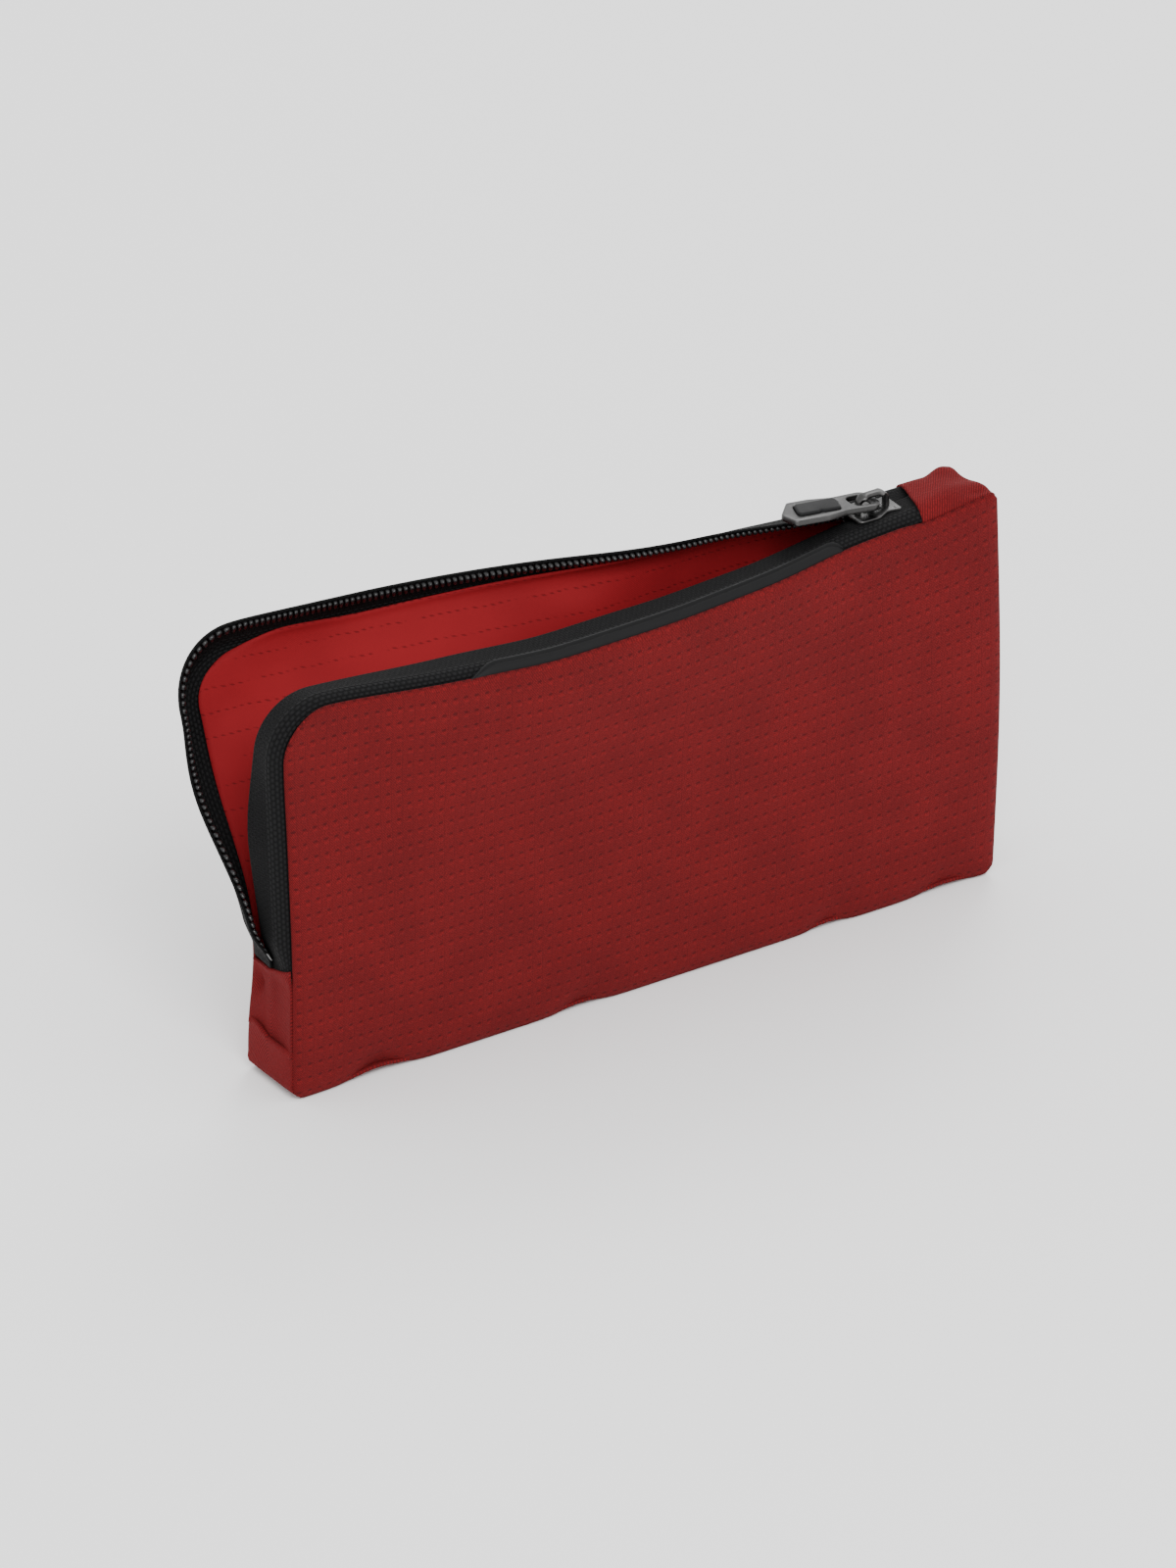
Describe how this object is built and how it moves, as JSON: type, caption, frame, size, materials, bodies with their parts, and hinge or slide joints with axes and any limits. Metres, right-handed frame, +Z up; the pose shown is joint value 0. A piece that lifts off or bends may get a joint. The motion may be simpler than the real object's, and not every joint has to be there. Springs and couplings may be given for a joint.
{
  "type": "first aid kit",
  "caption": "Slim soft first aid pouch of red ripstop fabric that stands on its long edge, with a coil zip round one top corner, a zip puller and supplies inside.",
  "frame": {"origin": "middle of the bottom gusset's outer face, which the pouch stands on", "axes": "+X along the pouch's length towards the end where the slider rests when the mouth is open, -Y out of the front panel, +Z up"},
  "size_m": [0.2041, 0.0579, 0.1092],
  "materials": {
    "ripstop": "dark red ripstop weave, matt with a faint sheen",
    "lining": "red coated nylon lining, smooth satin",
    "tape_black": "black knitted polyester tape, matt",
    "coil_black": "black nylon coil, glossy",
    "label_rubber": "black moulded rubber, satin",
    "slider_metal": "dark nickel plated die casting, polished with soft edges",
    "spring_steel": "thin bright spring steel",
    "grip_rubber": "black moulded rubber, matt",
    "gauze": "off-white woven cotton",
    "paper": "white paper sachet, matt",
    "foil": "crinkled silver foil packet",
    "plaster_card": "plain card packet, matt",
    "nitrile": "blue nitrile, matt",
    "tool_steel": "brushed stainless steel"
  },
  "bodies": {
    "pouch": {"front_panel": "ripstop", "back_panel": "ripstop", "front_lining": "lining", "back_lining": "lining", "bottom_gusset": "ripstop", "left_gusset": "ripstop", "right_gusset": "ripstop", "zip_end_cover": "ripstop", "seam_binding_front": "tape_black", "seam_binding_back": "tape_black", "zip_tape_front": "tape_black", "zip_coil_front": "coil_black", "zip_tape_back_end": "tape_black", "zip_coil_back_end": "coil_black", "zip_bottom_stop": "slider_metal", "zip_top_stop_front": "slider_metal", "label_strip": "label_rubber", "bandage_roll": "gauze", "elastic_bandage_roll": "gauze", "adhesive_tape_roll": "paper", "glove_packet": "nitrile", "plaster_packet": "plaster_card", "gauze_sachet_1": "paper", "gauze_sachet_2": "paper", "gauze_sachet_3": "paper", "foil_blanket_packet": "foil", "wipe_sachet_1": "paper", "wipe_sachet_2": "paper", "tweezers": "tool_steel"},
    "back_lip": {"back_flap_panel": "ripstop", "back_flap_lining": "lining", "zip_tape_back": "tape_black", "zip_coil_back": "coil_black", "zip_top_stop_back": "slider_metal"},
    "slider": {"slider_body": "slider_metal", "slider_bridge": "slider_metal", "slider_lock_spring": "spring_steel"},
    "puller": {"puller_plate": "slider_metal", "puller_grip": "grip_rubber"}
  },
  "joints": [
    {"name": "back_lip_fold", "type": "hinge", "parent": "pouch", "child": "back_lip", "pos_m": [-0.1, 0.01, 0.021], "axis": [-0.8933, 0, -0.4495], "range_deg": [-34, 20]},
    {"name": "slider_run", "type": "slide", "parent": "pouch", "child": "slider", "axis": [-1, 0, 0], "range_m": [0, 0.125]},
    {"name": "puller_swing", "type": "hinge", "parent": "slider", "child": "puller", "pos_m": [0.0705, 0, 0.1052], "axis": [0, 1, 0], "range_deg": [-6, 156]}
  ]
}
